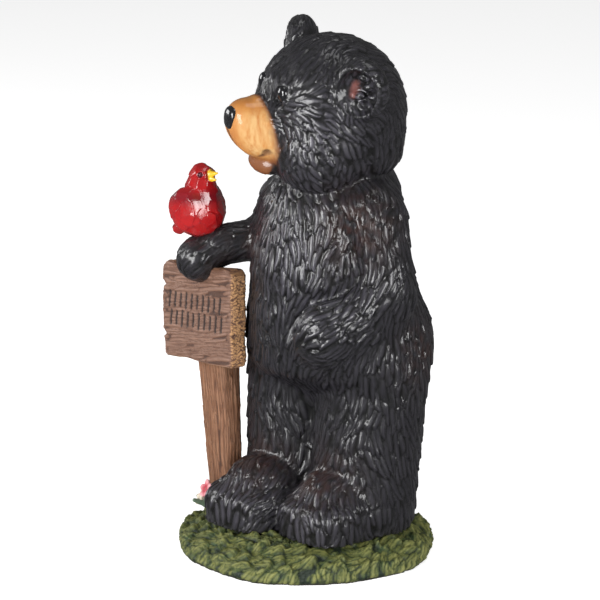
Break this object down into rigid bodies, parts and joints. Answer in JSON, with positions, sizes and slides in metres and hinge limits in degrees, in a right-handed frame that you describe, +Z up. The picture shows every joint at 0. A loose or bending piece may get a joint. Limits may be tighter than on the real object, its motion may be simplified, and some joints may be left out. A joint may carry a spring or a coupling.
{
  "type": "bear garden statue",
  "caption": "Painted resin bear standing on a round grass mound, one paw on a wooden signboard with a small bird perched on it; stands on its flat underside.",
  "frame": {"origin": "centre of the grass mound's flat underside", "axes": "+Z up, the bear's body faces -Y and its own left side is +X"},
  "size_m": [0.1861, 0.1666, 0.3279],
  "materials": {
    "bear_fur": "carved cast resin painted glossy near-black, with a tan muzzle",
    "grass": "carved cast resin painted olive green, dark in the hollows",
    "board_wood": "cast resin painted as weathered pinkish-brown wood",
    "post_wood": "cast resin painted as brown grooved wood",
    "bird_red": "carved cast resin painted glossy red, with a yellow beak",
    "flower_pink": "cast resin painted pink and cream, with grey-green leaves"
  },
  "bodies": {
    "root": {"bear": "bear_fur", "grass_mound": "grass", "signboard": "board_wood", "sign_post": "post_wood", "red_bird": "bird_red", "flowers": "flower_pink"}
  },
  "joints": []
}
